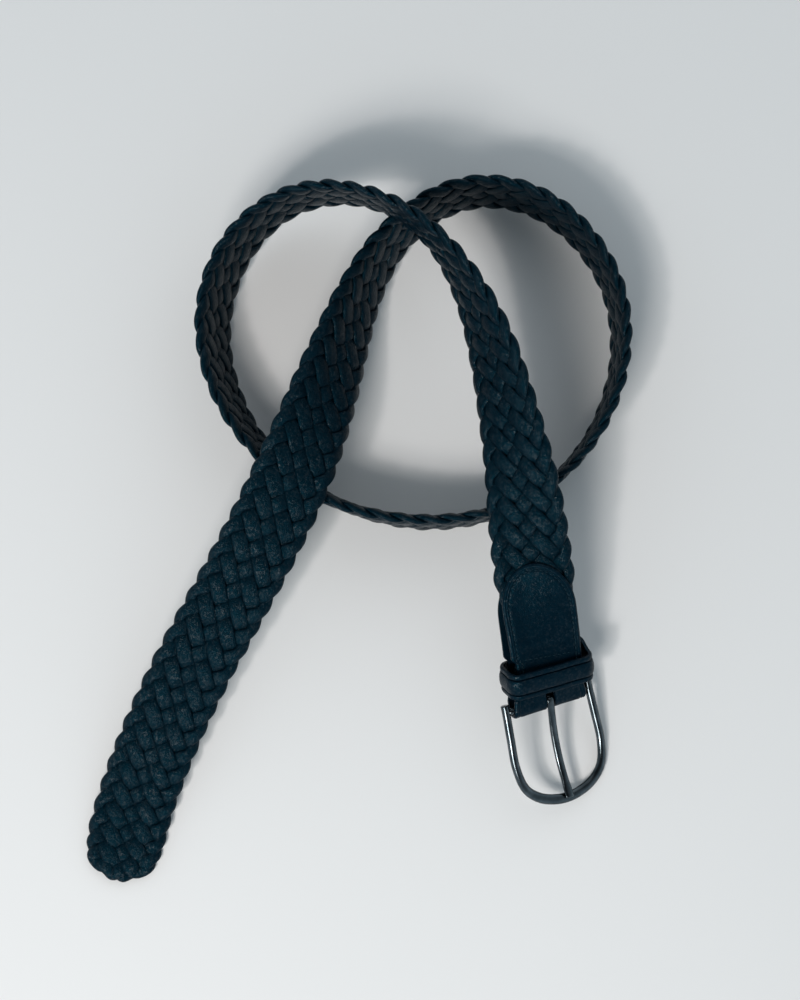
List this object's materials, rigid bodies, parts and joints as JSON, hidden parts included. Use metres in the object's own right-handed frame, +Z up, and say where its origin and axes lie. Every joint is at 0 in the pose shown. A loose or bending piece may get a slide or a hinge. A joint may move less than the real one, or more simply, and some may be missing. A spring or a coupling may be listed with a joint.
{
  "type": "braided belt",
  "caption": "Braided leather belt with a leather buckle tab, a keeper and a metal prong buckle, laid in one loop.",
  "frame": {"origin": "on the table under the middle of the laid belt", "axes": "+Z up, +Y from the tip and the buckle towards the far side of the loop, +X from the tip's side towards the buckle's side"},
  "size_m": [0.241, 0.313, 0.0731],
  "materials": {
    "braided_leather": "satin",
    "plain_leather": "satin",
    "dark_nickel": "polished"
  },
  "bodies": {
    "belt": {"braided_strap": "braided_leather", "buckle_tab": "plain_leather", "keeper": "plain_leather"},
    "frame": {"buckle_frame": "dark_nickel"},
    "prong": {"prong": "dark_nickel"}
  },
  "joints": [
    {"name": "frame_hinge", "type": "hinge", "parent": "belt", "child": "frame", "pos_m": [0.08311, -0.07627, 0.01725], "axis": [-0.8912, -0.287, 0.3513], "range_deg": [0, 35]},
    {"name": "prong_hinge", "type": "hinge", "parent": "frame", "child": "prong", "pos_m": [0.08311, -0.07627, 0.01725], "axis": [-0.8912, -0.287, 0.3513], "range_deg": [0, 70]}
  ]
}
